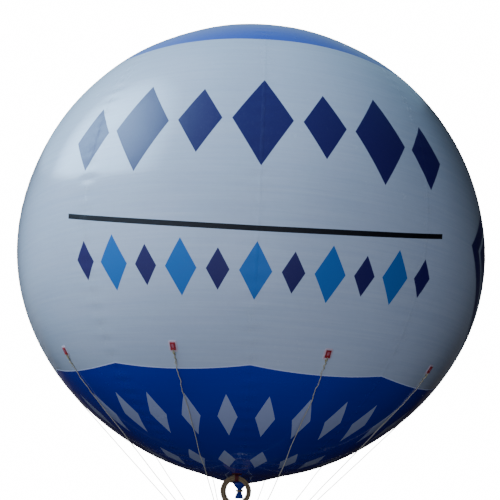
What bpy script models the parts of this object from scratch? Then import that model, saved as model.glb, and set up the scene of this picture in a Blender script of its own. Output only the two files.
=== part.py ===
# Round advertising sky balloon on ten load lines, standing in the air as it is flown.
# Metres, +Z up. The origin is the middle of the ball at its widest ring, and the side
# that faces the viewer is -Y. The ball is sewn from ten flat gores, each a white panel
# over a blue one, under a blue top cap. Every gore carries one red load patch, and one
# line runs from it over the ball's lower half to a knot below the neck, where a swivel
# takes the mooring line.
import math

import bmesh
import bpy
import numpy as np
from mathutils import Matrix, Vector

# the ball
ballRadius = 1.83
wallThickness = 0.010
goreCount = 10
columnsPerGore = 4
rowStep = 9.0
rowMargin = 1.0
slack = 0.0003

# every ring of the skin is at least this share of what a plain ball's ring would be
ringShare = 0.93

# points nearer than this are one point
mergeDistance = 0.00005

# half the span, in degrees, that gives the skin's slope and a patch's upright
slopeStep = 0.05
uprightStep = 0.5

# how the lower half is flatter than a ball, and the short funnel over the neck
flattening = 0.058
flatteningStart = -3.25
flatteningSpan = 66.0
funnelDepth = 0.020
funnelSpan = 12.0

# latitudes in degrees
capEdge = 40.5
bandEdge = -36.5
baseDiscEdge = -83.0
patchLatitude = -31.5

crownRadius = 0.17
crownThickness = 0.004

# filling neck, tied off under the base disc
neckRadius = 0.050
neckWaistRadius = 0.017
neckTailRadius = 0.034
neckLength = 0.120
neckWaistDepth = 0.052
neckCollar = 0.006
neckShoulder = (0.72, 0.62)
neckFlare = (0.86, 0.80)
neckHollow = 0.004
bindingRope = 0.010

# section of the two rope turns, in rope diameters out from the waist and up from the middle
bindingSection = ((0.4, 1.0), (1.0, 0.5), (0.75, 0.0), (1.0, -0.5), (0.4, -1.0), (0.0, -0.6), (0.0, 0.6))

# red load patches
patchSize = (0.048, 0.064, 0.0025)
tabSize = (0.034, 0.050, 0.0085)
patchRounding = 0.0012
weldOverlap = 0.001

# load lines
lineRadius = 0.003
lineOffset = 0.0062
lineMeet = -2.42
lineArcStep = 3.0
lineStraightSteps = 8
lineEndRadius = 0.022
tabGap = 0.0009
leaveSearchEnd = -80.0
leaveSearchStep = 0.05

# knot that gathers the lines
knotTopRadius = 0.010
knotRadius = 0.034
knotFootRadius = 0.020
knotHeight = 0.075
knotRim = 0.008
knotFootEdge = (0.003, 0.004)

# swivel under the knot
barrelRadius = 0.017
barrelLength = 0.040
barrelWall = 0.005
barrelEdge = 0.002
pinRadius = 0.006
pinPlay = 0.0005
pinHeadRadius = 0.009
pinHeadLength = 0.008
pinHeadPlay = 0.0015
pinHeadEdge = 0.001
shankLength = 0.014
shankInEye = 0.004
eyeRadius = 0.026
eyeHoleRadius = 0.013
eyeThickness = 0.012
eyeSteps = 24

# coil of spare rope on its webbing hanger
hangerAzimuth = -94.3
hangerRows = 5
coilRadius = 0.091
coilBundleRadius = 0.021
coilSectionSteps = 12
hangerBand = 0.003
hangerWidth = 0.026
hangerPlay = 0.0022
hangerPlate = (0.070, 0.050, 0.004)

roundSteps = 40
smallSteps = 20


def clearScene():
    for thing in list(bpy.data.objects):
        bpy.data.objects.remove(thing, do_unlink=True)


def newCollection(name):
    group = bpy.data.collections.new(name)
    bpy.context.scene.collection.children.link(group)
    return group


clearScene()
balloon = newCollection("sky_balloon")
helpers = newCollection("cutters")
helpers.hide_render = True


def newMaterial(name, colour, roughness, metallic=0.0):
    material = bpy.data.materials.new(name)
    material.use_nodes = True
    shader = material.node_tree.nodes["Principled BSDF"]
    shader.inputs["Base Color"].default_value = (*colour, 1.0)
    shader.inputs["Roughness"].default_value = roughness
    shader.inputs["Metallic"].default_value = metallic
    return material


whiteFilm = newMaterial("white_film", (0.62, 0.69, 0.76), 0.25)
blueFilm = newMaterial("blue_film", (0.005, 0.035, 0.30), 0.22)
redWebbing = newMaterial("red_webbing", (0.45, 0.02, 0.03), 0.6)
creamLine = newMaterial("cream_line", (0.62, 0.58, 0.48), 0.7)
hempRope = newMaterial("hemp_rope", (0.42, 0.30, 0.14), 0.85)
zincSteel = newMaterial("zinc_steel", (0.62, 0.63, 0.65), 0.35, 1.0)


def addMesh(name, mesh, material, group=balloon):
    thing = bpy.data.objects.new(name, mesh)
    group.objects.link(thing)
    mesh.materials.clear()
    mesh.materials.append(material)
    return thing


def smooth(thing, degrees=35.0):
    thing.data.shade_smooth()
    thing.data.set_sharp_from_angle(angle=math.radians(degrees))


def easeStep(t):
    t = np.clip(t, 0.0, 1.0)
    return t * t * (3.0 - 2.0 * t)


def ballReach(latitude):
    # distance of the outer skin from the middle of the ball, latitude in degrees
    flat = flattening * easeStep((-latitude - flatteningStart) / flatteningSpan)
    funnel = funnelDepth * (1.0 - easeStep((90.0 + latitude) / funnelSpan))
    return ballRadius * (1.0 - flat + funnel)


def skinProfile(latitude, raised=0.0):
    # radius and height of the skin's outline, raised square to the skin itself
    def plain(at):
        lat = np.radians(at)
        return np.stack([ballReach(at) * np.cos(lat), ballReach(at) * np.sin(lat)], -1)

    along = plain(latitude + slopeStep) - plain(latitude - slopeStep)
    along = along / np.linalg.norm(along, axis=-1, keepdims=True)
    outward = np.stack([along[..., 1], -along[..., 0]], -1)
    return plain(latitude) + raised * outward


def skinPoint(latitude, azimuth, raised=0.0):
    # a point on the skin, latitude and azimuth in degrees
    outline = skinProfile(np.asarray(latitude, float), raised)
    azi = np.radians(azimuth)
    return np.stack([outline[..., 0] * np.cos(azi), outline[..., 0] * np.sin(azi), outline[..., 1]], -1)


def goreAzimuth(index):
    # the middle of a gore; a seam between two gores faces the viewer at -90 degrees
    return -90.0 + (index + 0.5) * 360.0 / goreCount


def bandLatitude(fromMiddle):
    # the band's edge is a straight cut across the flat gore, so on the ball it follows
    # a great circle square to the gore's middle line and rises towards both seams
    return np.degrees(np.arctan(math.tan(math.radians(bandEdge)) * np.cos(np.radians(fromMiddle))))


def panelSolid(name, rows, columns, azimuths, latitudes, material):
    # a closed sheet: a grid of outer points, the same grid pushed in by the wall's
    # thickness, and a strip of faces round the rim between the two
    outer = skinPoint(latitudes, azimuths).reshape(-1, 3)
    inner = skinPoint(latitudes, azimuths, -wallThickness).reshape(-1, 3)
    index = np.arange(rows * columns).reshape(rows, columns)
    quads = np.stack([index[:-1, :-1], index[:-1, 1:], index[1:, 1:], index[1:, :-1]], -1).reshape(-1, 4)
    below = rows * columns
    rim = np.concatenate([index[0, :-1], index[:-1, -1], index[-1, :0:-1], index[:0:-1, 0]])
    following = np.roll(rim, -1)
    rimQuads = np.stack([following, rim, rim + below, following + below], -1)
    faces = np.concatenate([quads, quads[:, ::-1] + below, rimQuads])
    mesh = bpy.data.meshes.new(name)
    mesh.from_pydata(np.concatenate([outer, inner]).tolist(), [], faces.tolist())
    mesh.validate()
    panel = addMesh(name, mesh, material)
    smooth(panel)
    return panel


def gorePanels(index):
    middle = goreAzimuth(index)
    halfGore = 180.0 / goreCount
    across = np.linspace(-halfGore, halfGore, columnsPerGore + 1)
    edge = bandLatitude(across)
    clear = math.degrees(slack / 2.0 / ballRadius)

    def panel(name, low, high, inside, material):
        # low and high are latitudes for each column, inside the rows between them
        rows = np.concatenate([[low], np.repeat(inside[:, None], len(across), 1), [high]])
        inset = np.zeros(len(across))
        inset[0], inset[-1] = 1.0, -1.0
        ring = ballRadius * np.cos(np.radians(rows)) * ringShare
        azimuths = middle + across[None, :] + inset[None, :] * np.degrees(slack / 2.0 / ring)
        panelSolid(name, len(rows), len(across), azimuths, rows, material)

    whiteRows = np.arange(patchLatitude, capEdge - rowMargin, rowStep)
    top = np.full(len(across), capEdge - clear)
    panel(f"gore_white_{index + 1:02d}", edge + clear, top, whiteRows, whiteFilm)
    blueRows = np.arange(patchLatitude - rowStep, baseDiscEdge + rowMargin, -rowStep)[::-1]
    foot = np.full(len(across), baseDiscEdge + clear)
    panel(f"gore_blue_{index + 1:02d}", foot, edge - clear, blueRows, blueFilm)


def turned(name, outline, material, steps=roundSteps, group=balloon):
    # an outline of (radius, height) points turned once round Z, outer side first, top down
    mesh = bpy.data.meshes.new(name)
    count = len(outline)
    closed = outline[0][0] > 0.0 or outline[-1][0] > 0.0
    edges = [(i, i + 1) for i in range(count - 1)] + ([(count - 1, 0)] if closed else [])
    mesh.from_pydata([(r, 0.0, z) for r, z in outline], edges, [])
    thing = addMesh(name, mesh, material, group)
    screw = thing.modifiers.new("turn", "SCREW")
    screw.steps = steps
    screw.render_steps = steps
    screw.use_merge_vertices = True
    screw.merge_threshold = mergeDistance
    screw.use_smooth_shade = True
    return thing


def skinOutline(top, bottom, raised):
    # the skin's own outline from one latitude down to another, about every row
    count = max(2, int(round((top - bottom) / rowStep)) + 1)
    latitudes = np.linspace(top, bottom, count)
    outline = [(float(r), float(z)) for r, z in skinProfile(latitudes, raised)]
    return [(0.0, z) if r < mergeDistance else (r, z) for r, z in outline]


def topCap():
    clear = math.degrees(slack / 2.0 / ballRadius)
    outer = skinOutline(90.0, capEdge + clear, 0.0)
    inner = skinOutline(90.0, capEdge + clear, -wallThickness)
    turned("top_cap", outer + inner[::-1], blueFilm)


def crownPatch():
    edge = 90.0 - math.degrees(crownRadius / ballRadius)
    outer = skinOutline(90.0, edge, slack + crownThickness)
    inner = skinOutline(90.0, edge, slack)
    turned("crown_patch", outer + inner[::-1], blueFilm, smallSteps)


def neckLatitude():
    # the latitude where the skin is the neck's radius away from the axis
    return -90.0 + math.degrees(neckRadius / ballReach(-90.0))


def baseDisc():
    clear = math.degrees(slack / 2.0 / ballRadius)
    outer = skinOutline(baseDiscEdge - clear, neckLatitude(), 0.0)
    inner = skinOutline(baseDiscEdge - clear, neckLatitude(), -wallThickness)
    inner[-1] = (outer[-1][0], inner[-1][1])
    turned("base_disc", outer + inner[::-1], blueFilm)


def neckTop():
    return -float(ballReach(-90.0)) + wallThickness


def fillingNeck():
    # a gathered tube: full at the disc, pulled in at the tie, with a loose tail below
    top = neckTop()
    collar = neckRadius - slack
    outline = [
        (0.0, top),
        (collar, top),
        (collar, top - wallThickness - neckCollar),
        (neckRadius * neckShoulder[0], top - neckWaistDepth * neckShoulder[1]),
        (neckWaistRadius, top - neckWaistDepth),
        (neckWaistRadius, top - neckWaistDepth - 2.0 * bindingRope),
        (neckTailRadius * neckFlare[0], top - neckLength * neckFlare[1]),
        (neckTailRadius, top - neckLength),
        (0.0, top - neckLength + neckHollow),
    ]
    turned("filling_neck", outline, blueFilm, smallSteps)


def neckBinding():
    # two turns of rope side by side round the waist, as one ring with a waist of its own
    middle = neckTop() - neckWaistDepth - bindingRope
    inner = neckWaistRadius + slack
    outline = [(inner + out * bindingRope, middle + up * bindingRope) for out, up in bindingSection]
    turned("neck_binding", outline, hempRope, smallSteps)


def box(name, size, material, group=balloon):
    bm = bmesh.new()
    bmesh.ops.create_cube(bm, size=1.0)
    bmesh.ops.scale(bm, vec=size, verts=bm.verts)
    mesh = bpy.data.meshes.new(name)
    bm.to_mesh(mesh)
    bm.free()
    return addMesh(name, mesh, material, group)


def skinFrame(latitude, azimuth):
    # axes at a point of the skin: x along the ring, y up the meridian, z outwards
    here = Vector(skinPoint(latitude, azimuth))
    above = Vector(skinPoint(latitude + uprightStep, azimuth))
    below = Vector(skinPoint(latitude - uprightStep, azimuth))
    up = (above - below).normalized()
    aside = Vector((-math.sin(math.radians(azimuth)), math.cos(math.radians(azimuth)), 0.0))
    out = aside.cross(up).normalized()
    frame = Matrix((aside, up, out)).transposed().to_4x4()
    frame.translation = here
    return frame


def place(thing, frame):
    thing.data.transform(frame)
    thing.data.update()


def join(thing, tool):
    union = thing.modifiers.new("join", "BOOLEAN")
    union.operation = "UNION"
    union.solver = "EXACT"
    union.object = tool


def loadPatch(index):
    # a welded base with a thicker webbing tab on it, whose foot meets the load line
    frame = skinFrame(patchLatitude, goreAzimuth(index))
    name = f"load_patch_{index + 1:02d}"
    base = box(name, patchSize, redWebbing)
    place(base, frame @ Matrix.Translation((0.0, 0.0, slack + patchSize[2] / 2.0)))
    tab = box(f"tab_form_{index + 1:02d}", tabSize, redWebbing, helpers)
    tab.hide_render = True
    tab.display_type = "WIRE"
    place(tab, frame @ Matrix.Translation((0.0, 0.0, slack + weldOverlap + tabSize[2] / 2.0)))
    join(base, tab)
    rounding = base.modifiers.new("rounding", "BEVEL")
    rounding.width = patchRounding
    rounding.segments = 1
    rounding.limit_method = "ANGLE"


def tube(name, points, radius, material):
    curve = bpy.data.curves.new(name, "CURVE")
    curve.dimensions = "3D"
    curve.bevel_depth = radius
    curve.bevel_resolution = 2
    curve.use_fill_caps = True
    spline = curve.splines.new("POLY")
    spline.points.add(len(points) - 1)
    for knot, point in zip(spline.points, points):
        knot.co = (*point, 1.0)
    curve.materials.append(material)
    thing = bpy.data.objects.new(name, curve)
    balloon.objects.link(thing)
    return thing


def lineRoute():
    # the taut line in its own upright plane, as (radius, height): over the skin from the
    # tab's foot to where it leaves the ball, then straight to the knot
    tabFoot = math.degrees((tabSize[1] / 2.0 + tabGap) / float(ballReach(patchLatitude)))
    fine = np.arange(patchLatitude - tabFoot, leaveSearchEnd, -leaveSearchStep)
    skin = skinProfile(fine, lineOffset)
    lean = np.arctan2(skin[:, 0], skin[:, 1] - lineMeet)
    leave = int(np.argmax(lean))
    steps = max(2, int(round((fine[0] - fine[leave]) / lineArcStep)) + 1)
    arc = np.linspace(fine[0], fine[leave], steps)
    onSkin = skinProfile(arc, lineOffset)
    last = onSkin[-1]
    slope = last - np.array([0.0, lineMeet])
    end = np.array([0.0, lineMeet]) + slope * (lineEndRadius / slope[0])
    straight = last + (end - last) * np.linspace(0.0, 1.0, lineStraightSteps + 1)[1:, None]
    return np.concatenate([onSkin, straight])


def loadLine(index, route):
    azimuth = math.radians(goreAzimuth(index))
    points = [(r * math.cos(azimuth), r * math.sin(azimuth), z) for r, z in route]
    tube(f"load_line_{index + 1:02d}", points, lineRadius, creamLine)


def gatheringKnot(route):
    # its upper side is a cone square to the lines, so every line ends flat against it
    end, before = route[-1], route[-2]
    along = (end - before) / np.linalg.norm(end - before)
    seat = end + along * slack
    fall = np.array([-along[1], along[0]])
    fall = fall if fall[0] > 0 else -fall

    def onCone(radius):
        return (radius, float(seat[1] + fall[1] / fall[0] * (radius - seat[0])))

    top = onCone(knotTopRadius)
    shoulder = onCone(knotRadius)
    foot = top[1] - knotHeight
    outline = [
        (0.0, top[1]),
        top,
        shoulder,
        (knotRadius, shoulder[1] - knotRim),
        (knotFootRadius, foot + knotFootEdge[1]),
        (knotFootRadius - knotFootEdge[0], foot),
        (0.0, foot),
    ]
    turned("gathering_knot", outline, creamLine, smallSteps)
    return foot


def swivelBarrel(top):
    # a hollow barrel that the pin hangs in, open at its foot round the pin
    foot = top - barrelLength
    cavity = pinHeadRadius + pinHeadPlay
    bore = pinRadius + pinPlay
    outline = [
        (0.0, top),
        (barrelRadius - barrelEdge, top),
        (barrelRadius, top - barrelEdge),
        (barrelRadius, foot + barrelEdge),
        (barrelRadius - barrelEdge, foot),
        (bore, foot),
        (bore, foot + barrelWall),
        (cavity, foot + barrelWall),
        (cavity, top - barrelWall),
        (0.0, top - barrelWall),
    ]
    turned("swivel_barrel", outline, zincSteel, smallSteps)
    return foot


def swivelEye(barrelFoot):
    # pin with a head inside the barrel, and a flat eye below for the mooring line
    headFoot = barrelFoot + barrelWall + slack
    shankFoot = barrelFoot - shankLength
    outline = [
        (0.0, headFoot + pinHeadLength),
        (pinHeadRadius - pinHeadEdge, headFoot + pinHeadLength),
        (pinHeadRadius, headFoot + pinHeadLength - pinHeadEdge),
        (pinHeadRadius, headFoot),
        (pinRadius, headFoot),
        (pinRadius, shankFoot - shankInEye),
        (0.0, shankFoot - shankInEye),
    ]
    pin = turned("pin_form", outline, zincSteel, smallSteps, helpers)
    pin.hide_render = True
    pin.display_type = "WIRE"
    middle = shankFoot - eyeRadius
    curve = bpy.data.curves.new("eye_outline", "CURVE")
    curve.dimensions = "2D"
    curve.fill_mode = "BOTH"
    curve.extrude = eyeThickness / 2.0
    for radius in (eyeRadius, eyeHoleRadius):
        spline = curve.splines.new("POLY")
        spline.points.add(eyeSteps - 1)
        for i, knot in enumerate(spline.points):
            turn = 2.0 * math.pi * (i + 0.5) / eyeSteps
            knot.co = (radius * math.cos(turn), radius * math.sin(turn), 0.0, 1.0)
        spline.use_cyclic_u = True
    flat = bpy.data.objects.new("eye_outline", curve)
    helpers.objects.link(flat)
    flat.matrix_world = Matrix.Translation((0.0, 0.0, middle)) @ Matrix.Rotation(math.pi / 2.0, 4, "X")
    bpy.context.view_layer.update()
    seen = flat.evaluated_get(bpy.context.evaluated_depsgraph_get())
    mesh = bpy.data.meshes.new_from_object(seen)
    mesh.transform(flat.matrix_world)
    bpy.data.objects.remove(flat)
    bm = bmesh.new()
    bm.from_mesh(mesh)
    bmesh.ops.remove_doubles(bm, verts=bm.verts, dist=mergeDistance)
    bmesh.ops.recalc_face_normals(bm, faces=bm.faces)
    bm.to_mesh(mesh)
    bm.free()
    eye = addMesh("swivel_eye", mesh, zincSteel)
    join(eye, pin)


def coilHanger():
    # a plate on the blue skin with a band of webbing under it, closed round the coil's top
    seat = skinFrame(patchLatitude - hangerRows * rowStep, hangerAzimuth)
    inner = coilBundleRadius + hangerPlay
    outer = inner + hangerBand
    plate = box("coil_hanger", hangerPlate, redWebbing)
    place(plate, seat @ Matrix.Translation((0.0, 0.0, slack + hangerPlate[2] / 2.0)))
    drop = slack + hangerPlate[2] - weldOverlap + outer
    middle = seat @ Vector((0.0, 0.0, drop))
    half = hangerWidth / 2.0
    outline = [(outer, half), (outer, -half), (inner, -half), (inner, half)]
    band = turned("band_form", outline, redWebbing, smallSteps, helpers)
    band.hide_render = True
    band.display_type = "WIRE"
    band.matrix_world = Matrix.Translation(middle) @ Matrix.Rotation(math.pi / 2.0, 4, "Y")
    join(plate, band)
    return middle


def ropeCoil(top):
    # the coil's outer form, a ring standing upright with its face to the viewer
    turns = [math.pi / 2.0 - 2.0 * math.pi * i / coilSectionSteps for i in range(coilSectionSteps)]
    section = [(coilRadius + coilBundleRadius * math.cos(t), coilBundleRadius * math.sin(t)) for t in turns]
    coil = turned("rope_coil", section, hempRope, roundSteps)
    centre = Vector((top.x, top.y, top.z - coilRadius))
    coil.matrix_world = Matrix.Translation(centre) @ Matrix.Rotation(math.pi / 2.0, 4, "X")


for goreIndex in range(goreCount):
    gorePanels(goreIndex)
    loadPatch(goreIndex)
topCap()
crownPatch()
baseDisc()
fillingNeck()
neckBinding()
lineShape = lineRoute()
for goreIndex in range(goreCount):
    loadLine(goreIndex, lineShape)
knotFoot = gatheringKnot(lineShape)
swivelEye(swivelBarrel(knotFoot - slack))
ropeCoil(coilHanger())
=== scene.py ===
# Looks of a round advertising sky balloon, laid over its CAD frame: ten sewn film gores with a
# printed pattern, welded load patches, taut cream lines, a tied filling neck and spare rope.
import math

import bpy
import numpy as np
from mathutils import Matrix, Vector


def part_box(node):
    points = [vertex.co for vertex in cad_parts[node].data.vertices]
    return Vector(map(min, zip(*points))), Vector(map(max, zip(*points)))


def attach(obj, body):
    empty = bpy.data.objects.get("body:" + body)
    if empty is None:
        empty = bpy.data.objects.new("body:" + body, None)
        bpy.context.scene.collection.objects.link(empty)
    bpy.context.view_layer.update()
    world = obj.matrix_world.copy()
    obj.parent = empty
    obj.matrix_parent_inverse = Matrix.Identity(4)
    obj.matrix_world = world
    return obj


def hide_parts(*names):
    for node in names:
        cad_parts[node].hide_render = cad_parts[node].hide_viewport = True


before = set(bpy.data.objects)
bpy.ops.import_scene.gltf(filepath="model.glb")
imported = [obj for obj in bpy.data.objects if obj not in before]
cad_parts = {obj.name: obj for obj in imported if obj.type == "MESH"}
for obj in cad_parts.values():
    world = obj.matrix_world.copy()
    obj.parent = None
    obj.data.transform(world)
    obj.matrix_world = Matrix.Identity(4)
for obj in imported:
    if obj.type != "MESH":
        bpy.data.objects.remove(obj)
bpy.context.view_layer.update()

print("frame loaded,", len(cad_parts), "nodes")

# The ball, as the frame has it: metres, and latitudes and azimuths in degrees.
ball = {
    "radius": 1.83,           # widest ring
    "wall": 0.010,
    "gores": 10,
    "front": -90.0,           # azimuth of the seam that faces the viewer
    "flattening": 0.058,      # how much flatter the lower half is
    "flatStart": -3.25,
    "flatSpan": 66.0,
    "funnel": 0.020,          # short funnel over the neck
    "funnelSpan": 12.0,
    "capEdge": 40.5,
    "bandEdge": -36.5,
    "discEdge": -83.0,
    "patchLatitude": -31.5,
    "clear": 0.0003,          # what the frame leaves between pieces
}
goreWidth = 360.0 / ball["gores"]
degree = math.pi / 180.0

# How blown film departs from the smooth ball.
filmRelief = {
    "dip": 0.0032,            # the skin is drawn in along each seam
    "dipReach": 0.20,
    "pucker": 0.0010,         # short waves that the weld leaves beside it
    "puckerReach": 0.070,
    "puckerLength": 0.105,
    "swell": 0.0016,          # broad unevenness
    "swellWaves": 8,
    "swellShortest": 0.55,
    "swellLongest": 1.3,
    "fadeFrom": 80.0,         # seams run out towards the poles
    "fadeSpan": 14.0,
    "seed": 11,
}


def easeStep(t):
    # a step with soft ends: three t squared less two t cubed
    t = np.clip(t, 0.0, 1.0)
    return t * t * (3.0 - 2.0 * t)


def ballReach(latitude):
    # distance of the skin from the middle: a ball, flatter below, with a funnel at the foot
    flat = ball["flattening"] * easeStep((-latitude - ball["flatStart"]) / ball["flatSpan"])
    funnel = ball["funnel"] * (1.0 - easeStep((90.0 + latitude) / ball["funnelSpan"]))
    return ball["radius"] * (1.0 - flat + funnel)


def skinProfile(latitude, raised=0.0):
    # radius and height of the outline, moved by raised along its own normal
    def plain(at):
        reach = ballReach(at)
        return np.stack([reach * np.cos(at * degree), reach * np.sin(at * degree)], -1)

    along = plain(latitude + 0.05) - plain(latitude - 0.05)
    along = along / np.linalg.norm(along, axis=-1, keepdims=True)
    outward = np.stack([along[..., 1], -along[..., 0]], -1)
    return plain(latitude) + np.asarray(raised)[..., None] * outward


swellDraw = np.random.default_rng(filmRelief["seed"])
swellCount = filmRelief["swellWaves"]
swellAim = swellDraw.normal(size=(swellCount, 3))
swellAim = swellAim / np.linalg.norm(swellAim, axis=1, keepdims=True)
swellLength = swellDraw.uniform(filmRelief["swellShortest"], filmRelief["swellLongest"], swellCount)
swellPhase = swellDraw.uniform(0.0, 2.0 * math.pi, swellCount)


def skinRelief(latitude, azimuth):
    # a bell-shaped dip and short waves along each seam, plus a sum of broad plane waves
    latitude, azimuth = np.broadcast_arrays(np.asarray(latitude, float), np.asarray(azimuth, float))
    ring = ball["radius"] * np.cos(latitude * degree)
    fromMiddle = np.mod(azimuth - ball["front"], goreWidth) - goreWidth / 2.0
    toSeam = (goreWidth / 2.0 - np.abs(fromMiddle)) * degree * ring
    dip = -filmRelief["dip"] * np.exp(-((toSeam / filmRelief["dipReach"]) ** 2))
    turn = 2.0 * math.pi * ball["radius"] * latitude * degree / filmRelief["puckerLength"]
    wave = np.sin(turn + 1.7 * np.sin(3.0 * azimuth * degree))
    pucker = filmRelief["pucker"] * wave * np.exp(-((toSeam / filmRelief["puckerReach"]) ** 2))
    fade = easeStep((filmRelief["fadeFrom"] - np.abs(latitude)) / filmRelief["fadeSpan"])
    place = np.stack([ring * np.cos(azimuth * degree), ring * np.sin(azimuth * degree),
                      ball["radius"] * np.sin(latitude * degree)], -1)
    phases = place @ (swellAim * (2.0 * math.pi / swellLength[:, None])).T + swellPhase
    swell = filmRelief["swell"] * np.sin(phases).sum(-1) / math.sqrt(swellCount)
    return (dip + pucker) * fade + swell


def skinPoint(latitude, azimuth, raised=0.0):
    # a point of the uneven skin, raised square to it
    latitude, azimuth = np.broadcast_arrays(np.asarray(latitude, float), np.asarray(azimuth, float))
    outline = skinProfile(latitude, raised + skinRelief(latitude, azimuth))
    turn = azimuth * degree
    return np.stack([outline[..., 0] * np.cos(turn), outline[..., 0] * np.sin(turn), outline[..., 1]], -1)


def goreAzimuth(index):
    return ball["front"] + (index + 0.5) * goreWidth


def seamAzimuth(index):
    return ball["front"] + index * goreWidth


def bandLatitude(fromMiddle):
    # a straight cut across the flat gore: a great circle square to the gore's middle line
    return np.arctan(math.tan(ball["bandEdge"] * degree) * np.cos(fromMiddle * degree)) / degree


# Meshes from whole arrays.
def putMesh(name, points, faces, material, uv=None, sharpAngle=None):
    # points is (count, 3); faces is a list of (count, corners) index arrays
    mesh = bpy.data.meshes.new(name)
    corners = np.concatenate([f.ravel() for f in faces]).astype(np.int32)
    sizes = np.concatenate([np.full(len(f), f.shape[1], np.int32) for f in faces])
    mesh.vertices.add(len(points))
    mesh.vertices.foreach_set("co", np.ascontiguousarray(points, np.float32).ravel())
    mesh.loops.add(len(corners))
    mesh.loops.foreach_set("vertex_index", corners)
    mesh.polygons.add(len(sizes))
    mesh.polygons.foreach_set("loop_start", np.concatenate([[0], np.cumsum(sizes)[:-1]]).astype(np.int32))
    mesh.update(calc_edges=True)
    if uv is not None:
        layer = mesh.uv_layers.new(name="UVMap")
        layer.uv.foreach_set("vector", np.ascontiguousarray(uv, np.float32).ravel())
    mesh.validate()
    mesh.shade_smooth()
    if sharpAngle:
        mesh.set_sharp_from_angle(angle=sharpAngle * degree)
    mesh.materials.append(material)
    thing = bpy.data.objects.new(name, mesh)
    bpy.context.scene.collection.objects.link(thing)
    return thing


def signedVolume(points, faces):
    # sum of the tetrahedra between the origin and each face's fan of triangles
    total = 0.0
    for face in faces:
        for corner in range(1, face.shape[1] - 1):
            a, b, c = points[face[:, 0]], points[face[:, corner]], points[face[:, corner + 1]]
            total += float(np.einsum("ij,ij->i", a, np.cross(b, c)).sum())
    return total


def loft(name, rings, material, sharpAngle=None):
    # rings is (sections, around, 3): closed loops joined one after the other, each end closed
    # by a fan to its middle; u runs round the loop and v along it in metres
    count, around = rings.shape[:2]
    index = np.arange(count * around).reshape(count, around)
    beside = np.roll(index, -1, axis=1)
    quads = np.stack([index[:-1], beside[:-1], beside[1:], index[1:]], -1).reshape(-1, 4)
    first, last = count * around, count * around + 1
    points = np.concatenate([rings.reshape(-1, 3), [rings[0].mean(0)], [rings[-1].mean(0)]])
    headFan = np.stack([np.full(around, first), beside[0], index[0]], -1)
    footFan = np.stack([np.full(around, last), index[-1], beside[-1]], -1)
    middle = rings.mean(1)
    along = np.concatenate([[0.0], np.cumsum(np.linalg.norm(np.diff(middle, axis=0), axis=1))])
    u0 = np.broadcast_to(np.arange(around) / around, (count - 1, around))
    u1 = u0 + 1.0 / around
    v0 = np.broadcast_to(along[:-1, None], (count - 1, around))
    v1 = np.broadcast_to(along[1:, None], (count - 1, around))
    quadUv = np.stack([u0, v0, u1, v0, u1, v1, u0, v1], -1).reshape(-1, 4, 2)
    turnBack = signedVolume(points - points.mean(0), [quads, headFan, footFan]) < 0.0
    fanUv = np.zeros((2 * around, 3, 2))
    fanUv[:, :, 0] = 0.5
    fanUv[around:, :, 1] = along[-1]
    if turnBack:
        quads, headFan, footFan = quads[:, ::-1], headFan[:, ::-1], footFan[:, ::-1]
        quadUv = quadUv[:, ::-1]
    uv = np.concatenate([quadUv.reshape(-1, 2), fanUv.reshape(-1, 2)])
    return putMesh(name, points, [quads, headFan, footFan], material, uv, sharpAngle)


def ringLoft(name, rings, material, sharpAngle=None):
    # closed loops joined one after the other and the last to the first; u and v as in loft
    count, around = rings.shape[:2]
    index = np.arange(count * around).reshape(count, around)
    beside = np.roll(index, -1, axis=1)
    quads = np.stack([index, beside, np.roll(beside, -1, axis=0), np.roll(index, -1, axis=0)], -1).reshape(-1, 4)
    middle = rings.mean(1)
    run = np.cumsum(np.linalg.norm(np.roll(middle, -1, axis=0) - middle, axis=1))
    u0 = np.broadcast_to(np.arange(around) / around, (count, around))
    u1 = u0 + 1.0 / around
    v0 = np.broadcast_to(np.concatenate([[0.0], run[:-1]])[:, None], (count, around))
    v1 = np.broadcast_to(run[:, None], (count, around))
    uv = np.stack([u0, v0, u1, v0, u1, v1, u0, v1], -1).reshape(-1, 4, 2)
    if signedVolume(rings.reshape(-1, 3) - middle.mean(0), [quads]) < 0.0:
        quads, uv = quads[:, ::-1], uv[:, ::-1]
    return putMesh(name, rings.reshape(-1, 3), [quads], material, uv.reshape(-1, 2), sharpAngle)


def unit(vectors):
    return vectors / np.maximum(np.linalg.norm(vectors, axis=-1, keepdims=True), 1e-12)


def tubeRings(path, radius, sides, guide, strands=0, depth=0.0, pitch=1.0):
    # a circle round each point of the path, in the axes side = along x guide and up = side x
    # along; with strands, the circle is scalloped by |cos| of the strands' turning angle
    along = unit(np.gradient(path, axis=0))
    side = unit(np.cross(along, np.broadcast_to(guide, path.shape)))
    up = np.cross(side, along)
    angle = 2.0 * math.pi * np.arange(sides) / sides
    run = np.concatenate([[0.0], np.cumsum(np.linalg.norm(np.diff(path, axis=0), axis=1))])
    reach = np.broadcast_to(np.asarray(radius, float), (len(path),))[:, None] * np.ones(sides)
    if strands:
        lay = angle[None, :] - 2.0 * math.pi * run[:, None] / pitch
        reach = reach * (1.0 - depth * (1.0 - np.abs(np.cos(0.5 * strands * lay))))
    ringX = (reach * np.cos(angle))[..., None] * side[:, None, :]
    ringY = (reach * np.sin(angle))[..., None] * up[:, None, :]
    return path[:, None, :] + ringX + ringY


def turnedRings(outline, sides, pleat=None):
    # an outline of (radius, height) carried round Z; pleat(angle, share) scales the radius
    outline = np.asarray(outline, float)
    angle = 2.0 * math.pi * np.arange(sides) / sides
    share = np.linspace(0.0, 1.0, len(outline))
    reach = outline[:, :1] * np.ones(sides)
    if pleat:
        reach = reach * pleat(angle[None, :], share[:, None])
    height = outline[:, 1:] * np.ones(sides)
    return np.stack([reach * np.cos(angle), reach * np.sin(angle), height], -1)


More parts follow.
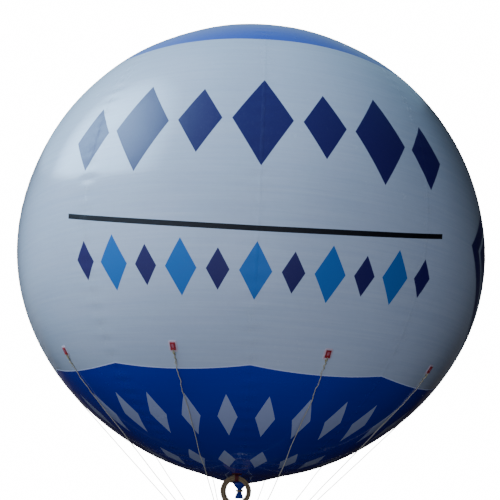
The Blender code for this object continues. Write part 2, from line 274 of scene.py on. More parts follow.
def finerOutline(points, count):
    # more points along a chain of straight runs, rounded by a moving average of three
    points = np.asarray(points, float)
    run = np.concatenate([[0.0], np.cumsum(np.linalg.norm(np.diff(points, axis=0), axis=1))])
    at = np.linspace(0.0, run[-1], count)
    fine = np.stack([np.interp(at, run, points[:, k]) for k in range(points.shape[1])], -1)
    soft = fine.copy()
    soft[1:-1] = (fine[:-2] + fine[1:-1] * 2.0 + fine[2:]) / 4.0
    return soft


def place(piece, body, slot, *nodes):
    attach(piece, body)
    if nodes:
        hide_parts(*nodes)
    return piece


# Shader building blocks.
def feed(tree, socket, value):
    if isinstance(value, bpy.types.NodeSocket):
        tree.links.new(value, socket)
    else:
        socket.default_value = value


def addNode(tree, kind, settings=None, **values):
    node = tree.nodes.new(kind)
    for key, setting in (settings or {}).items():
        setattr(node, key, setting)
    for key, value in values.items():
        feed(tree, node.inputs[key.replace("_", " ")], value)
    return node


def calc(tree, operation, *values):
    node = tree.nodes.new("ShaderNodeMath")
    node.operation = operation
    for socket, value in zip(node.inputs, values):
        feed(tree, socket, value)
    return node.outputs[0]


def ramp(tree, value, low, high, toLow=0.0, toHigh=1.0):
    node = tree.nodes.new("ShaderNodeMapRange")
    for socket, number in zip(node.inputs, (value, low, high, toLow, toHigh)):
        feed(tree, socket, number)
    return node.outputs["Result"]


def mixColour(tree, share, first, second, blendType="MIX"):
    node = tree.nodes.new("ShaderNodeMix")
    node.data_type = "RGBA"
    node.blend_type = blendType
    feed(tree, node.inputs[0], share)
    feed(tree, node.inputs[6], first)
    feed(tree, node.inputs[7], second)
    return node.outputs[2]


def colour(red, green, blue):
    return (red, green, blue, 1.0)


def noise(tree, vector, scale, detail=3.0, roughness=0.5):
    return addNode(tree, "ShaderNodeTexNoise", Vector=vector, Scale=scale, Detail=detail,
                   Roughness=roughness).outputs[0]


def stretched(tree, vector, x, y, z):
    node = tree.nodes.new("ShaderNodeMapping")
    feed(tree, node.inputs["Vector"], vector)
    node.inputs["Scale"].default_value = (x, y, z)
    return node.outputs[0]


def newGroup(name, inputs, outputs):
    group = bpy.data.node_groups.new(name, "ShaderNodeTree")
    for label, kind, value in inputs:
        socket = group.interface.new_socket(label, in_out="INPUT", socket_type="NodeSocket" + kind)
        if value is not None:
            socket.default_value = value
    for label, kind in outputs:
        group.interface.new_socket(label, in_out="OUTPUT", socket_type="NodeSocket" + kind)
    return group, group.nodes.new("NodeGroupInput").outputs, group.nodes.new("NodeGroupOutput").inputs


def useGroup(tree, group, **values):
    node = tree.nodes.new("ShaderNodeGroup")
    node.node_tree = group
    for key, value in values.items():
        feed(tree, node.inputs[key.replace("_", " ")], value)
    return node.outputs


def newMaterial(name):
    material = bpy.data.materials.new(name)
    material.use_nodes = True
    tree = material.node_tree
    shader = tree.nodes["Principled BSDF"]
    where = tree.nodes.new("ShaderNodeTexCoord")
    return material, tree, shader, where.outputs


def bumpFrom(tree, height, strength, distance):
    return addNode(tree, "ShaderNodeBump", Height=height, Strength=strength, Distance=distance).outputs[0]


def weldedBump(tree, height, ribs):
    # the film's own relief, then the deeper weld pattern on top of it
    film = bumpFrom(tree, height, 0.22, 0.0016)
    return addNode(tree, "ShaderNodeBump", Height=ribs, Strength=0.55, Distance=0.0009, Normal=film).outputs[0]


def makeSpherePlace():
    # azimuth from the front seam and latitude, in degrees, and distance from the nearest seam
    group, given, out = newGroup("spherePlace", [("Position", "Vector", None)],
                                 [("Azimuth", "Float"), ("Latitude", "Float"), ("Seam", "Float")])
    split = addNode(group, "ShaderNodeSeparateXYZ", Vector=given["Position"]).outputs
    x, y, z = split[0], split[1], split[2]
    azimuth = calc(group, "DEGREES", calc(group, "ARCTAN2", x, calc(group, "MULTIPLY", y, -1.0)))
    reach = calc(group, "SQRT", calc(group, "ADD", calc(group, "MULTIPLY", x, x), calc(group, "MULTIPLY", y, y)))
    latitude = calc(group, "DEGREES", calc(group, "ARCTAN2", z, reach))
    offset = calc(group, "PINGPONG", azimuth, goreWidth / 2.0)
    feed(group, out["Azimuth"], azimuth)
    feed(group, out["Latitude"], latitude)
    feed(group, out["Seam"], calc(group, "MULTIPLY", calc(group, "MULTIPLY", offset, degree), reach))
    return group


def makeLozengeRow():
    # a row of rhombi: |u| / half width + |v| / half height under 1, every other one smaller,
    # on a line that bows up with the square of the azimuth; repeated all round the ball
    group, given, out = newGroup("lozengeRow", [
        ("Azimuth", "Float", 0.0), ("Latitude", "Float", 0.0), ("Repeat", "Float", 180.0),
        ("Count", "Float", 7.0), ("Pitch", "Float", 12.0), ("Middle", "Float", 0.0),
        ("Half Height", "Float", 10.0), ("Half Width", "Float", 0.5), ("Bow", "Float", 0.0),
        ("Small", "Float", 1.0)], [("Mask", "Float"), ("Odd", "Float"), ("Distance", "Float")])
    half = calc(group, "MULTIPLY", given["Repeat"], 0.5)
    turned = calc(group, "WRAP", given["Azimuth"], half, calc(group, "MULTIPLY", half, -1.0))
    steps = calc(group, "DIVIDE", turned, given["Pitch"])
    cell = calc(group, "ROUND", steps)
    odd = calc(group, "ABSOLUTE", calc(group, "MODULO", cell, 2.0))
    across = calc(group, "DIVIDE", calc(group, "ABSOLUTE", calc(group, "SUBTRACT", steps, cell)), given["Half Width"])
    bend = calc(group, "MULTIPLY", given["Bow"], calc(group, "POWER", calc(group, "DIVIDE", turned, 40.0), 2.0))
    rise = calc(group, "SUBTRACT", calc(group, "SUBTRACT", given["Latitude"], given["Middle"]), bend)
    share = calc(group, "SUBTRACT", 1.0, calc(group, "MULTIPLY", odd, calc(group, "SUBTRACT", 1.0, given["Small"])))
    tall = calc(group, "DIVIDE", calc(group, "ABSOLUTE", rise), calc(group, "MULTIPLY", given["Half Height"], share))
    distance = calc(group, "ADD", calc(group, "DIVIDE", across, share), tall)
    inRow = calc(group, "LESS_THAN", calc(group, "ABSOLUTE", cell), calc(group, "MULTIPLY", given["Count"], 0.5))
    feed(group, out["Mask"], calc(group, "MULTIPLY", ramp(group, distance, 1.0, 0.985), inRow))
    feed(group, out["Odd"], odd)
    feed(group, out["Distance"], calc(group, "ADD", distance, calc(group, "MULTIPLY", calc(group, "SUBTRACT", 1.0, inRow), 9.0)))
    return group


weldSpan = [float(skinProfile(at)[1]) for at in (ball["discEdge"], ball["capEdge"])]


def makeFilmSurface():
    # blown film: broad clouds, fine level streaks, a dusting along the seams, and their relief;
    # on the seams the sealing roller's pattern, a product of two |sin| waves
    group, given, out = newGroup("filmSurface", [
        ("Position", "Vector", None), ("Seam", "Float", 1.0), ("Streaks", "Float", 1.0)],
        [("Cloud", "Float"), ("Streak", "Float"), ("Dust", "Float"), ("Height", "Float"), ("Ribs", "Float")])
    cloud = noise(group, given["Position"], 1.6, 2.0)
    level = noise(group, stretched(group, given["Position"], 1.2, 1.2, 46.0), 1.0, 4.0, 0.62)
    fine = noise(group, stretched(group, given["Position"], 5.0, 5.0, 170.0), 1.0, 2.0)
    streak = ramp(group, calc(group, "ADD", level, calc(group, "MULTIPLY", fine, 0.35)), 0.52, 0.86)
    grit = noise(group, given["Position"], 26.0, 5.0, 0.65)
    nearSeam = ramp(group, given["Seam"], 0.060, 0.004)
    dust = calc(group, "MULTIPLY", ramp(group, grit, 0.42, 0.78), calc(group, "ADD", calc(group, "MULTIPLY", nearSeam, 0.6), 0.25))
    orange = noise(group, given["Position"], 34.0, 3.0)
    up = addNode(group, "ShaderNodeSeparateXYZ", Vector=given["Position"]).outputs[2]
    acrossRibs = calc(group, "ABSOLUTE", calc(group, "SINE", calc(group, "MULTIPLY", given["Seam"], math.pi / 0.0032)))
    alongRibs = calc(group, "ABSOLUTE", calc(group, "SINE", calc(group, "MULTIPLY", up, math.pi / 0.0045)))
    rolled = calc(group, "ADD", calc(group, "MULTIPLY", calc(group, "MULTIPLY", acrossRibs, alongRibs), 0.6), 0.2)
    upper, lower = calc(group, "LESS_THAN", up, weldSpan[1]), calc(group, "GREATER_THAN", up, weldSpan[0])
    onSeam = calc(group, "MULTIPLY", ramp(group, given["Seam"], 0.0112, 0.0100), calc(group, "MULTIPLY", upper, lower))
    feed(group, out["Ribs"], calc(group, "MULTIPLY", rolled, onSeam))
    feed(group, out["Cloud"], cloud)
    feed(group, out["Streak"], calc(group, "MULTIPLY", streak, given["Streaks"]))
    feed(group, out["Dust"], dust)
    feed(group, out["Height"], calc(group, "ADD", calc(group, "MULTIPLY", streak, 0.55), calc(group, "MULTIPLY", orange, 0.45)))
    return group


def makeTwistedStrands():
    # strands laid round a cord: |cos| of turns round it less turns along it, as in tubeRings; Groove Shade marks the
    # grooves between strands, where shade is painted
    group, given, out = newGroup("twistedStrands", [
        ("UV", "Vector", None), ("Strands", "Float", 3.0), ("Pitch", "Float", 0.02)],
        [("Height", "Float"), ("Groove Shade", "Float"), ("Fibre", "Float")])
    split = addNode(group, "ShaderNodeSeparateXYZ", Vector=given["UV"]).outputs
    turns = calc(group, "SUBTRACT", split[0], calc(group, "DIVIDE", split[1], given["Pitch"]))
    phase = calc(group, "MULTIPLY", calc(group, "MULTIPLY", turns, given["Strands"]), math.pi)
    height = calc(group, "ABSOLUTE", calc(group, "COSINE", phase))
    along = addNode(group, "ShaderNodeCombineXYZ", X=calc(group, "MULTIPLY", turns, 40.0),
                    Y=calc(group, "MULTIPLY", split[1], 60.0)).outputs[0]
    fibre = noise(group, along, 1.0, 4.0, 0.6)
    feed(group, out["Height"], calc(group, "ADD", height, calc(group, "MULTIPLY", fibre, 0.3)))
    feed(group, out["Groove Shade"], ramp(group, height, 0.45, 0.05))
    feed(group, out["Fibre"], fibre)
    return group


def makeWovenTape():
    # webbing: ribs along the tape crossed by picks, as the product of two |sin| waves
    group, given, out = newGroup("wovenTape", [("Position", "Vector", None), ("Picks", "Float", 420.0)],
                                 [("Height", "Float"), ("Shade", "Float")])
    split = addNode(group, "ShaderNodeSeparateXYZ", Vector=given["Position"]).outputs
    picks = calc(group, "MULTIPLY", given["Picks"], math.pi)
    ribs = calc(group, "ABSOLUTE", calc(group, "SINE", calc(group, "MULTIPLY", calc(group, "ADD", split[0], split[1]), picks)))
    rows = calc(group, "ABSOLUTE", calc(group, "SINE", calc(group, "MULTIPLY", split[2], picks)))
    fuzz = noise(group, given["Position"], 900.0, 2.0)
    height = calc(group, "MULTIPLY", ribs, rows)
    feed(group, out["Height"], calc(group, "ADD", height, calc(group, "MULTIPLY", fuzz, 0.4)))
    feed(group, out["Shade"], ramp(group, height, 0.0, 0.5))
    return group


spherePlace = makeSpherePlace()
lozengeRow = makeLozengeRow()
filmSurface = makeFilmSurface()
twistedStrands = makeTwistedStrands()
wovenTape = makeWovenTape()

# The printed pattern. Azimuths run from the front seam; every row is repeated on the back.
printPlan = {
    "stripeMiddle": -8.4,     # black stripe, degrees of latitude
    "stripeBow": 4.1,
    "stripeHalf": 0.52,
    "stripeEnd": 40.8,
    "bigRow": {"Count": 7.0, "Pitch": 12.4, "Middle": 13.6, "Half_Height": 10.2, "Half_Width": 0.49,
               "Bow": -1.6, "Small": 0.74},
    "smallRow": {"Count": 11.0, "Pitch": 7.3, "Middle": -16.2, "Half_Height": 5.5, "Half_Width": 0.44,
                 "Bow": 3.2, "Small": 0.72},
    "sideMark": {"Count": 1.0, "Pitch": 90.0, "Middle": -3.0, "Half_Height": 25.0, "Half_Width": 0.25},
    "sideAzimuth": 76.0,
    "sideLine": (0.70, 0.78),
    "rayRow": {"Repeat": 360.0, "Count": 30.0, "Pitch": 12.0, "Middle": -49.2, "Half_Height": 6.6,
               "Half_Width": 0.27, "Small": 1.0},
    "footRow": {"Repeat": 360.0, "Count": 20.0, "Pitch": 18.0, "Middle": -66.5, "Half_Height": 4.6,
                "Half_Width": 0.28, "Small": 1.0},
}
navyInk = colour(0.017, 0.011, 0.115)
skyInk = colour(0.010, 0.150, 0.480)
blackInk = colour(0.004, 0.004, 0.006)
paleInk = colour(0.440, 0.480, 0.660)


def whiteFilm():
    material, tree, shader, where = newMaterial("white_film_printed")
    at = useGroup(tree, spherePlace, Position=where["Object"])
    film = useGroup(tree, filmSurface, Position=where["Object"], Seam=at["Seam"])
    big = useGroup(tree, lozengeRow, Azimuth=at["Azimuth"], Latitude=at["Latitude"], **printPlan["bigRow"])
    small = useGroup(tree, lozengeRow, Azimuth=at["Azimuth"], Latitude=at["Latitude"], **printPlan["smallRow"])
    aside = calc(tree, "SUBTRACT", at["Azimuth"], printPlan["sideAzimuth"])
    side = useGroup(tree, lozengeRow, Azimuth=aside, Latitude=at["Latitude"], **printPlan["sideMark"])
    turned = calc(tree, "WRAP", at["Azimuth"], 90.0, -90.0)
    bend = calc(tree, "MULTIPLY", calc(tree, "POWER", calc(tree, "DIVIDE", turned, 40.0), 2.0), printPlan["stripeBow"])
    off = calc(tree, "ABSOLUTE", calc(tree, "SUBTRACT", calc(tree, "SUBTRACT", at["Latitude"], printPlan["stripeMiddle"]), bend))
    inside = ramp(tree, off, printPlan["stripeHalf"] + 0.02, printPlan["stripeHalf"] - 0.02)
    short = calc(tree, "LESS_THAN", calc(tree, "ABSOLUTE", turned), printPlan["stripeEnd"])
    stripe = calc(tree, "MULTIPLY", inside, short)
    lineLow, lineHigh = printPlan["sideLine"]
    sideGap = calc(tree, "MULTIPLY", ramp(tree, side["Distance"], lineLow, lineLow + 0.01),
                   ramp(tree, side["Distance"], lineHigh, lineHigh - 0.01))
    sideMask = calc(tree, "MULTIPLY", side["Mask"], calc(tree, "SUBTRACT", 1.0, sideGap))
    cloth = mixColour(tree, film["Cloud"], colour(0.480, 0.555, 0.680), colour(0.580, 0.645, 0.765))
    cloth = mixColour(tree, calc(tree, "MULTIPLY", film["Streak"], 0.28), cloth, colour(0.74, 0.79, 0.85))
    cloth = mixColour(tree, calc(tree, "MULTIPLY", film["Dust"], 0.30), cloth, colour(0.36, 0.36, 0.36))
    smallInk = mixColour(tree, small["Odd"], skyInk, navyInk)
    ink = mixColour(tree, big["Mask"], cloth, navyInk)
    ink = mixColour(tree, small["Mask"], ink, smallInk)
    ink = mixColour(tree, sideMask, ink, navyInk)
    ink = mixColour(tree, stripe, ink, blackInk)
    printed = calc(tree, "MAXIMUM", calc(tree, "MAXIMUM", big["Mask"], small["Mask"]), calc(tree, "MAXIMUM", sideMask, stripe))
    crackle = noise(tree, where["Object"], 75.0, 5.0, 0.7)
    ink = mixColour(tree, calc(tree, "MULTIPLY", calc(tree, "MULTIPLY", ramp(tree, crackle, 0.55, 0.80), printed), 0.10),
                    ink, colour(0.20, 0.20, 0.32))
    feed(tree, shader.inputs["Base Color"], ink)
    rough = calc(tree, "ADD", ramp(tree, film["Cloud"], 0.3, 0.7, 0.15, 0.24), calc(tree, "MULTIPLY", film["Dust"], 0.25))
    feed(tree, shader.inputs["Roughness"], calc(tree, "ADD", rough, calc(tree, "MULTIPLY", printed, calc(tree, "MULTIPLY", crackle, 0.34))))
    height = calc(tree, "ADD", film["Height"], calc(tree, "MULTIPLY", calc(tree, "MULTIPLY", crackle, printed), 1.6))
    feed(tree, shader.inputs["Normal"], weldedBump(tree, height, film["Ribs"]))
    shader.inputs["Specular IOR Level"].default_value = 0.55
    feed(tree, shader.inputs["Coat Weight"], ramp(tree, printed, 0.0, 1.0, 0.85, 0.30))
    shader.inputs["Coat Roughness"].default_value = 0.045
    return material


def blueFilm(name, deep, bright):
    material, tree, shader, where = newMaterial(name)
    at = useGroup(tree, spherePlace, Position=where["Object"])
    film = useGroup(tree, filmSurface, Position=where["Object"], Seam=at["Seam"], Streaks=0.4)
    rays = useGroup(tree, lozengeRow, Azimuth=calc(tree, "ADD", at["Azimuth"], 6.0), Latitude=at["Latitude"], **printPlan["rayRow"])
    foot = useGroup(tree, lozengeRow, Azimuth=calc(tree, "ADD", at["Azimuth"], 9.0), Latitude=at["Latitude"], **printPlan["footRow"])
    printed = calc(tree, "MAXIMUM", rays["Mask"], foot["Mask"])
    cloth = mixColour(tree, film["Cloud"], deep, bright)
    cloth = mixColour(tree, calc(tree, "MULTIPLY", film["Streak"], 0.10), cloth, colour(0.02, 0.10, 0.55))
    cloth = mixColour(tree, calc(tree, "MULTIPLY", film["Dust"], 0.08), cloth, colour(0.10, 0.11, 0.16))
    feed(tree, shader.inputs["Base Color"], mixColour(tree, calc(tree, "MULTIPLY", printed, 0.92), cloth, paleInk))
    rough = calc(tree, "ADD", ramp(tree, film["Cloud"], 0.3, 0.7, 0.16, 0.26), calc(tree, "MULTIPLY", film["Dust"], 0.25))
    feed(tree, shader.inputs["Roughness"], rough)
    feed(tree, shader.inputs["Normal"], weldedBump(tree, film["Height"], film["Ribs"]))
    shader.inputs["Specular IOR Level"].default_value = 0.50
    shader.inputs["Coat Weight"].default_value = 0.75
    shader.inputs["Coat Roughness"].default_value = 0.05
    return material


def weldTape():
    # pale strip of heat-welded film on the band's edge
    material, tree, shader, where = newMaterial("weld_tape_pale")
    film = useGroup(tree, filmSurface, Position=where["Object"])
    cloth = mixColour(tree, film["Cloud"], colour(0.56, 0.62, 0.84), colour(0.68, 0.73, 0.90))
    feed(tree, shader.inputs["Base Color"], mixColour(tree, calc(tree, "MULTIPLY", film["Dust"], 0.4), cloth, colour(0.3, 0.3, 0.36)))
    feed(tree, shader.inputs["Roughness"], ramp(tree, film["Cloud"], 0.3, 0.7, 0.28, 0.42))
    feed(tree, shader.inputs["Normal"], bumpFrom(tree, film["Height"], 0.3, 0.001))
    return material


def webbing(name, dark, light, thread):
    material, tree, shader, where = newMaterial(name)
    tape = useGroup(tree, wovenTape, Position=where["Object"])
    wear = noise(tree, where["Object"], 60.0, 4.0)
    cloth = mixColour(tree, tape["Shade"], dark, light)
    cloth = mixColour(tree, calc(tree, "MULTIPLY", ramp(tree, wear, 0.5, 0.8), 0.35), cloth, thread)
    feed(tree, shader.inputs["Base Color"], cloth)
    feed(tree, shader.inputs["Roughness"], ramp(tree, wear, 0.3, 0.7, 0.55, 0.75))
    feed(tree, shader.inputs["Normal"], bumpFrom(tree, tape["Height"], 0.5, 0.0006))
    return material


def cordage(name, strands, pitch, dark, light, groove, bumpDepth):
    material, tree, shader, where = newMaterial(name)
    lay = useGroup(tree, twistedStrands, UV=where["UV"], Strands=strands, Pitch=pitch)
    patches = noise(tree, where["Object"], 14.0, 3.0)
    cloth = mixColour(tree, lay["Fibre"], dark, light)
    cloth = mixColour(tree, calc(tree, "MULTIPLY", ramp(tree, patches, 0.45, 0.75), 0.35), cloth, dark)
    # the groove colour is painted shade in the grooves between strands
    feed(tree, shader.inputs["Base Color"], mixColour(tree, calc(tree, "MULTIPLY", lay["Groove Shade"], 0.75), cloth, groove))
    feed(tree, shader.inputs["Roughness"], ramp(tree, lay["Fibre"], 0.3, 0.7, 0.68, 0.88))
    feed(tree, shader.inputs["Normal"], bumpFrom(tree, lay["Height"], 0.7, bumpDepth))
    return material


def padFilm():
    material, tree, shader, where = newMaterial("pad_film_pink")
    film = useGroup(tree, filmSurface, Position=where["Object"])
    stain = noise(tree, where["Object"], 40.0, 4.0)
    cloth = mixColour(tree, stain, colour(0.60, 0.42, 0.46), colour(0.72, 0.60, 0.66))
    feed(tree, shader.inputs["Base Color"], mixColour(tree, calc(tree, "MULTIPLY", film["Dust"], 0.5), cloth, colour(0.3, 0.22, 0.22)))
    feed(tree, shader.inputs["Roughness"], ramp(tree, stain, 0.3, 0.7, 0.35, 0.55))
    feed(tree, shader.inputs["Normal"], bumpFrom(tree, film["Height"], 0.3, 0.0008))
    return material


def zincSteel():
    # galvanised steel: cell-like spangle in the colour, scratches in the roughness
    material, tree, shader, where = newMaterial("zinc_steel_dull")
    cells = addNode(tree, "ShaderNodeTexVoronoi", Vector=where["Object"], Scale=260.0).outputs["Color"]
    spangle = addNode(tree, "ShaderNodeRGBToBW", Color=cells).outputs[0]
    scratch = noise(tree, stretched(tree, where["Object"], 900.0, 900.0, 120.0), 1.0, 4.0)
    feed(tree, shader.inputs["Base Color"], mixColour(tree, spangle, colour(0.56, 0.57, 0.58), colour(0.78, 0.79, 0.80)))
    feed(tree, shader.inputs["Roughness"], ramp(tree, scratch, 0.3, 0.7, 0.28, 0.48))
    feed(tree, shader.inputs["Normal"], bumpFrom(tree, scratch, 0.15, 0.0003))
    shader.inputs["Metallic"].default_value = 1.0
    return material


filmWhite = whiteFilm()
filmBlue = blueFilm("blue_film_printed", colour(0.0010, 0.015, 0.320), colour(0.0020, 0.026, 0.440))
# the cap's film is a paler copy of the blue film: its lighter base colour paints the sky's reflection on the cap
filmCapPaintedReflection = blueFilm("blue_film_cap_painted_reflection", colour(0.0040, 0.048, 0.420), colour(0.0080, 0.075, 0.540))
tapePale = weldTape()
filmPad = padFilm()
webRed = webbing("webbing_red", colour(0.16, 0.006, 0.010), colour(0.42, 0.016, 0.022), colour(0.55, 0.22, 0.24))
# red webbing for the coil's hanger, made darker to paint the shade under the ball
webRedPaintedShade = webbing("webbing_red_painted_shade", colour(0.045, 0.006, 0.006), colour(0.13, 0.016, 0.016), colour(0.22, 0.12, 0.10))
webPink = webbing("webbing_pink", colour(0.38, 0.07, 0.10), colour(0.56, 0.15, 0.19), colour(0.66, 0.40, 0.44))
# each cord's last colour is the painted shade in its grooves
lineCream = cordage("cord_pale", 3.0, 0.016, colour(0.46, 0.40, 0.30), colour(0.72, 0.65, 0.51), colour(0.14, 0.11, 0.075), 0.0012)
cordGathered = cordage("cord_gathered", 14.0, 0.16, colour(0.46, 0.40, 0.30), colour(0.72, 0.65, 0.51),
                       colour(0.10, 0.075, 0.05), 0.0012)
lineStraw = cordage("cord_straw", 3.0, 0.016, colour(0.33, 0.28, 0.13), colour(0.56, 0.50, 0.28), colour(0.11, 0.09, 0.04), 0.0012)
# hemp rope, its colours darkened to paint the shade under the ball
ropeHempPaintedShade = cordage("rope_hemp_painted_shade", 3.0, 0.042, colour(0.23, 0.145, 0.065), colour(0.47, 0.34, 0.185), colour(0.030, 0.014, 0.006), 0.0020)
steelZinc = zincSteel()
print("materials made")

# Envelope: white panels over blue panels, a cap and a base disc.
envelope = {"columns": 56, "whiteRows": 140, "blueRows": 76, "capAround": 320, "capRows": 52,
            "discAround": 160, "discRows": 16, "clear": 0.00015, "neckRadius": 0.050}


def wallMesh(name, outer, inner, material, closedRound=False, pole=False):
    # outer and inner are (rows, columns, 3) grids, rows running upwards; the wall is both
    # grids and a strip of quads round every open edge, with a fan to the pole if there is one
    rows, columns = outer.shape[:2]
    count = rows * columns
    index = np.arange(count).reshape(rows, columns)
    ahead = np.roll(index, -1, axis=1) if closedRound else index[:, 1:]
    here = index if closedRound else index[:, :-1]
    quads = np.stack([here[:-1], ahead[:-1], ahead[1:], here[1:]], -1).reshape(-1, 4)
    edges = [np.stack([ahead[0], here[0]], -1)]
    if not pole:
        edges.append(np.stack([here[-1], ahead[-1]], -1))
    if not closedRound:
        edges.append(np.stack([index[1:, 0], index[:-1, 0]], -1)[::-1])
        edges.append(np.stack([index[:-1, -1], index[1:, -1]], -1))
    edges = np.concatenate(edges)
    rim = np.stack([edges[:, 0], edges[:, 1], edges[:, 1] + count, edges[:, 0] + count], -1)
    points = np.concatenate([outer.reshape(-1, 3), inner.reshape(-1, 3)])
    faces = [quads, quads[:, ::-1] + count, rim[:, ::-1]]
    if pole:
        tips = np.array([outer[-1].mean(0), inner[-1].mean(0)])
        points = np.concatenate([points, tips])
        fan = np.stack([here[-1], ahead[-1], np.full(len(here[-1]), 2 * count)], -1)
        faces += [fan, fan[:, ::-1] + np.array([1, count, count])]
    return putMesh(name, points, faces, material, sharpAngle=50.0)


def gorePanel(name, index, low, high, rows, material):
    # latitude runs straight from the low edge to the high edge of each column
    across = np.linspace(-goreWidth / 2.0, goreWidth / 2.0, envelope["columns"] + 1)
    share = np.linspace(0.0, 1.0, rows + 1)[:, None]
    latitude = low(across)[None, :] * (1.0 - share) + high(across)[None, :] * share
    inset = np.zeros(len(across))
    inset[0], inset[-1] = 1.0, -1.0
    ring = ballReach(latitude) * np.cos(latitude * degree)
    azimuth = goreAzimuth(index) + across[None, :] + inset[None, :] * envelope["clear"] / ring / degree
    outer, inner = skinPoint(latitude, azimuth), skinPoint(latitude, azimuth, -ball["wall"])
    return wallMesh(name, outer, inner, material)


def ringWall(name, latitudes, around, material, pole=False):
    # rings at these latitudes, upwards, all the way round
    turn = np.arange(around) * 360.0 / around + ball["front"]
    outer = skinPoint(latitudes[:, None], turn[None, :])
    inner = skinPoint(latitudes[:, None], turn[None, :], -ball["wall"])
    return wallMesh(name, outer, inner, material, True, pole)


def buildEnvelope():
    clear = envelope["clear"] / ball["radius"] / degree
    for index in range(ball["gores"]):
        number = f"{index + 1:02d}"
        white = gorePanel(f"film_white_{number}", index, lambda m: bandLatitude(m) + clear,
                          lambda m: np.full(len(m), ball["capEdge"] - clear), envelope["whiteRows"], filmWhite)
        place(white, "balloon", "white_film", f"gore_white_{number}")
        blue = gorePanel(f"film_blue_{number}", index, lambda m: np.full(len(m), ball["discEdge"] + clear),
                         lambda m: bandLatitude(m) - clear, envelope["blueRows"], filmBlue)
        place(blue, "balloon", "blue_film", f"gore_blue_{number}")
    capRings = np.linspace(ball["capEdge"] + clear, 89.4, envelope["capRows"])
    place(ringWall("film_cap", capRings, envelope["capAround"], filmCapPaintedReflection, True), "balloon", "blue_film", "top_cap")
    neckEdge = -90.0 + envelope["neckRadius"] / ballReach(-90.0) / degree
    discRings = np.linspace(neckEdge, ball["discEdge"] - clear, envelope["discRows"])
    place(ringWall("film_base", discRings, envelope["discAround"], filmBlue), "balloon", "blue_film", "base_disc")


buildEnvelope()
print("envelope made")

# Welds: thin strips over every seam.
welds = {"seamWidth": 0.022, "seamHeight": 0.00022, "bandWidth": 0.009, "bandHeight": 0.0005,
         "rowLength": 0.016, "ringSteps": 320, "ringWidth": 0.018, "ringHeight": 0.0004}


def lensRings(latitude, azimuth, width, height, closedRound=False):
    # a flat lens section of this width carried along a line on the skin; every point is put
    # back on the skin itself, so it follows each dip
    across = np.array([-1.0, -0.55, -0.2, 0.2, 0.55, 1.0, 0.5, -0.5]) * width / 2.0
    lift = np.array([-0.25, 0.82, 1.0, 1.0, 0.82, -0.25, -1.0, -1.0]) * height
    middle = skinPoint(latitude, azimuth)
    if closedRound:
        along = unit(np.roll(middle, -1, axis=0) - np.roll(middle, 1, axis=0))
    else:
        along = unit(np.gradient(middle, axis=0))
    aside = unit(np.cross(along, unit(middle)))
    points = middle[:, None, :] + across[None, :, None] * aside[:, None, :]
    reach = np.linalg.norm(points[..., :2], axis=-1)
    pointLatitude = np.arctan2(points[..., 2], reach) / degree
    pointAzimuth = np.arctan2(points[..., 1], points[..., 0]) / degree
    return skinPoint(pointLatitude, pointAzimuth, lift[None, :])


def skinStrip(name, latitude, azimuth, width, height, material):
    return loft(name, lensRings(latitude, azimuth, width, height), material, 60.0)


def buildWelds():
    step = welds["rowLength"] / ball["radius"] / degree
    cusp = float(bandLatitude(np.array(goreWidth / 2.0)))
    for index in range(ball["gores"]):
        number = f"{index + 1:02d}"
        upper = np.arange(cusp + 0.12, ball["capEdge"], step)
        strip = skinStrip(f"weld_white_{number}", upper, np.full(len(upper), seamAzimuth(index)),
                          welds["seamWidth"], welds["seamHeight"], filmWhite)
        place(strip, "balloon", "white_film")
        lower = np.arange(ball["discEdge"] + 0.2, cusp - 0.12, step)
        strip = skinStrip(f"weld_blue_{number}", lower, np.full(len(lower), seamAzimuth(index)),
                          welds["seamWidth"], welds["seamHeight"], filmBlue)
        place(strip, "balloon", "blue_film")
        across = np.linspace(-goreWidth / 2.0, goreWidth / 2.0, 73)
        edge = skinStrip(f"weld_band_{number}", bandLatitude(across), goreAzimuth(index) + across,
                         welds["bandWidth"], welds["bandHeight"], tapePale)
        place(edge, "balloon", "white_film")


def buildRingWelds():
    turn = np.arange(welds["ringSteps"]) * 360.0 / welds["ringSteps"] + ball["front"]
    for name, latitude, film in (("weld_cap", ball["capEdge"], filmCapPaintedReflection), ("weld_base", ball["discEdge"], filmBlue)):
        rings = lensRings(np.full(len(turn), latitude), turn, welds["ringWidth"], welds["ringHeight"], True)
        place(ringLoft(name, rings, film, 60.0), "balloon", "blue_film")


buildWelds()
buildRingWelds()
print("welds made")

# Crown patch on the cap, and the ring weld round it.
crown = {"radius": 0.17, "thickness": 0.004, "ridge": 0.0012, "ridges": (0.55, 0.93), "around": 96, "rings": 60}


def buildCrown():
    # a disc on the skin: full thickness inside, rolled down at the rim, with two weld ridges
    share = np.linspace(0.03, 1.0, crown["rings"])
    top = crown["thickness"] * (1.0 - easeStep((share - 0.965) / 0.035))
    for ridge in crown["ridges"]:
        top = top - crown["ridge"] * np.exp(-(((share - ridge) / 0.016) ** 2))
    lift = np.concatenate([top, [0.0, 0.0]]) + ball["clear"]
    share = np.concatenate([share, [0.7, 0.03]])
    latitude = 90.0 - share * crown["radius"] / ball["radius"] / degree
    turn = np.arange(crown["around"]) * 360.0 / crown["around"]
    rings = skinPoint(latitude[:, None], turn[None, :], lift[:, None])
    place(loft("crown_disc", rings, filmCapPaintedReflection), "balloon", "blue_film", "crown_patch")


buildCrown()

# Load patches: a welded pad, and a strap of webbing folded round the line's eye.
patch = {"pad": (0.056, 0.078, 0.0025), "strapWidth": 0.034, "strapThick": 0.0019, "strapTop": 0.0270,
         "strapFoot": -0.0215, "eyeRadius": 0.0025, "corner": 5.0, "padAround": 48,
         "panel": (0.014, 0.026, 0.0010)}


